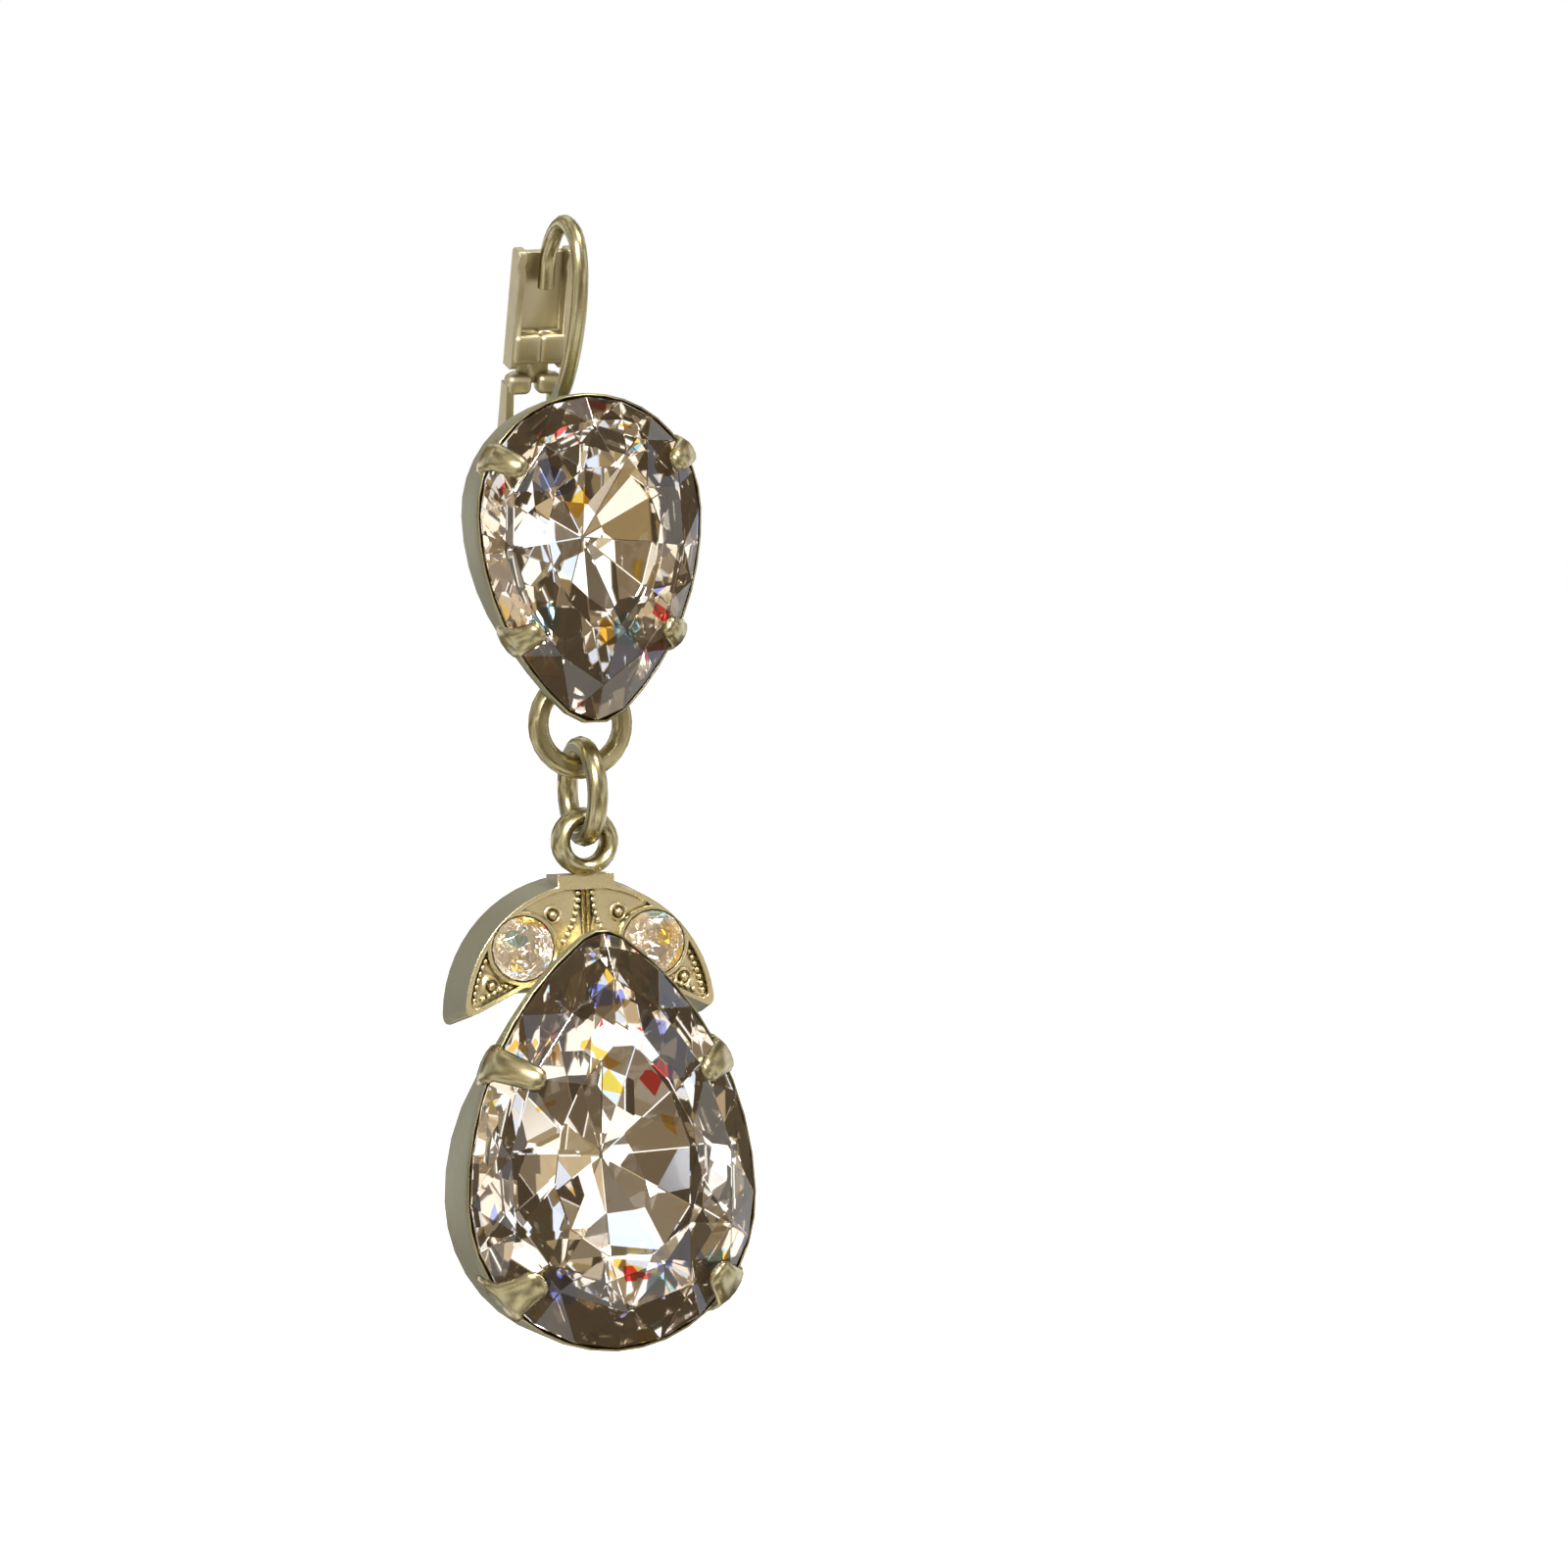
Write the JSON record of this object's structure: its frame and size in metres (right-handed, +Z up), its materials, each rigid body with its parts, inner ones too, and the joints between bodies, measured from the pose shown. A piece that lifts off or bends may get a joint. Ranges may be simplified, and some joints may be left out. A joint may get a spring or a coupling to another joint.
{
  "type": "chandelier earring",
  "caption": "Two-tier chandelier drop earring: pear stones in pronged cups, a round link, a cast half-moon with small stones, and a lever-back ear wire.",
  "frame": {"origin": "where the ear wire hangs, inside the top of its arch", "axes": "+Z up along the hanging earring, -Y towards the viewer of the stones, +X to the right as seen from the front"},
  "size_m": [0.0134, 0.0104, 0.0492],
  "materials": {
    "upper_metal": "pale antique gold plating, satin",
    "lever_metal": "pale antique gold plating, satin",
    "link_metal": "pale antique gold plating, polished",
    "drop_metal": "pale antique gold plating, satin",
    "crystal": "faceted, foil-backed, polished"
  },
  "bodies": {
    "upper": {"ear_hook_setting": "upper_metal", "upper_stone": "crystal", "hinge_pin": "upper_metal"},
    "lever": {"latch_lever": "lever_metal"},
    "link": {"jump_link": "link_metal"},
    "drop": {"drop_setting": "drop_metal", "drop_stone": "crystal", "side_stone_left": "crystal", "side_stone_right": "crystal"}
  },
  "joints": [
    {"name": "lever_hinge", "type": "hinge", "parent": "upper", "child": "lever", "pos_m": [0, 0.00549, -0.0094], "axis": [-1, 0, 0], "range_deg": [0, 70]},
    {"name": "link_swing", "type": "hinge", "parent": "upper", "child": "link", "pos_m": [0, 0, -0.02328], "axis": [1, 0, 0], "range_deg": [-40, 40]},
    {"name": "drop_swing", "type": "hinge", "parent": "link", "child": "drop", "pos_m": [0, 0, -0.02624], "axis": [0, 1, 0], "range_deg": [-30, 30]}
  ]
}
